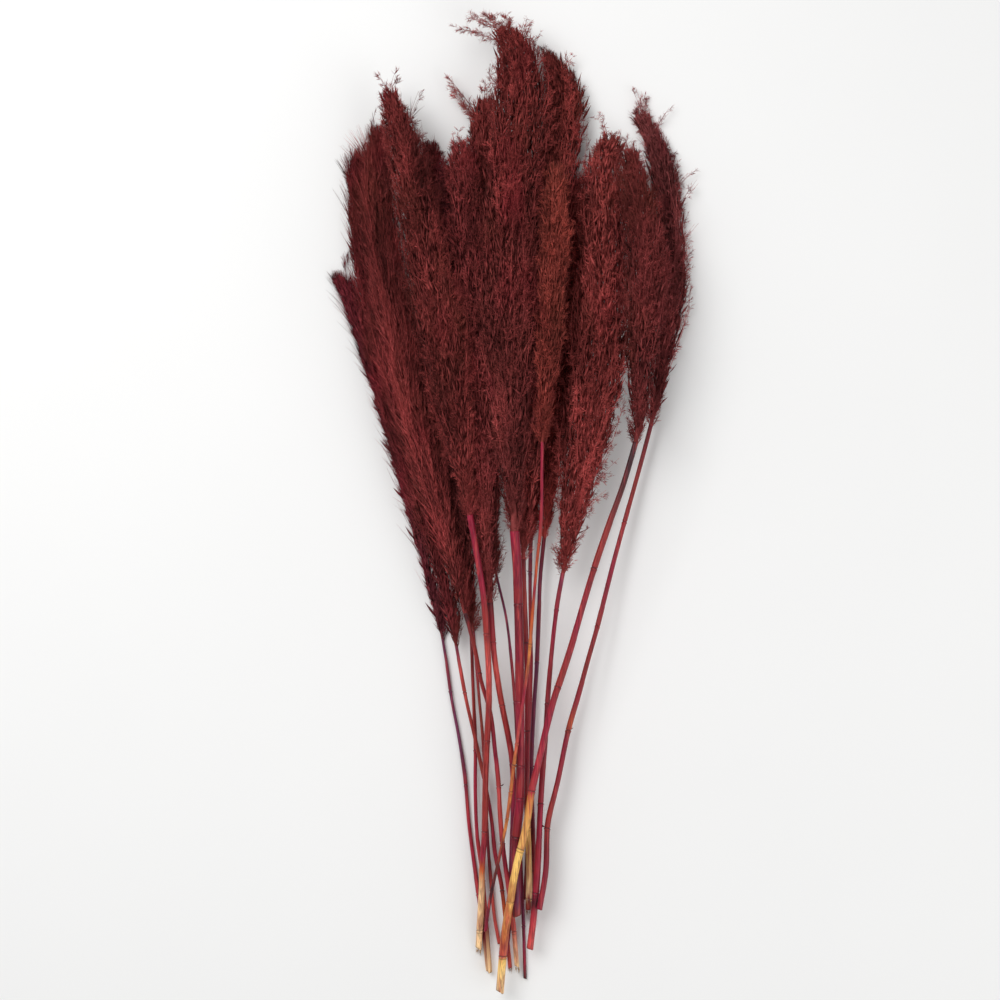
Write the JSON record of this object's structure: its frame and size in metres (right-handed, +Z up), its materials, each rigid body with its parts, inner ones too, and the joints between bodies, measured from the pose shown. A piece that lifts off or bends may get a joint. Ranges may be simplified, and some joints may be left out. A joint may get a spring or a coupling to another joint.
{
  "type": "bundle of dyed pampas grass",
  "caption": "Loose bundle of cut and dried pampas grass, dyed dark red, with feathery plumes on long jointed reed stems, lying flat.",
  "frame": {"origin": "middle of the bundle's footprint, on the surface that it lies on", "axes": "+Z up, +Y along the bundle from the cut ends to the plume tips, +X to the right seen from above with the tips away"},
  "size_m": [0.3692, 0.974, 0.0938],
  "materials": {
    "plume": "dull dyed grass fluff, dark red to maroon",
    "reed": "smooth dyed reed, crimson and maroon to orange, with dull tan cut ends"
  },
  "bodies": {
    "root": {"stem_far_left": "reed", "plume_far_left": "plume", "stem_back_left": "reed", "plume_back_left": "plume", "stem_back_middle": "reed", "plume_back_middle": "plume", "stem_tufted": "reed", "plume_tufted": "plume", "stem_back_right": "reed", "plume_back_right": "plume", "stem_inner_right": "reed", "plume_inner_right": "plume", "stem_middle_right": "reed", "plume_middle_right": "plume", "stem_outer_left": "reed", "plume_outer_left": "plume", "stem_inner_left": "reed", "plume_inner_left": "plume", "stem_combed_left": "reed", "plume_combed_left": "plume", "stem_tallest": "reed", "plume_tallest": "plume", "stem_curly": "reed", "plume_curly": "plume", "stem_far_right": "reed", "plume_far_right": "plume", "stem_slender_front": "reed", "plume_slender_front": "plume", "stem_crossing": "reed", "plume_crossing": "plume", "stem_front_left": "reed", "plume_front_left": "plume"}
  },
  "joints": []
}
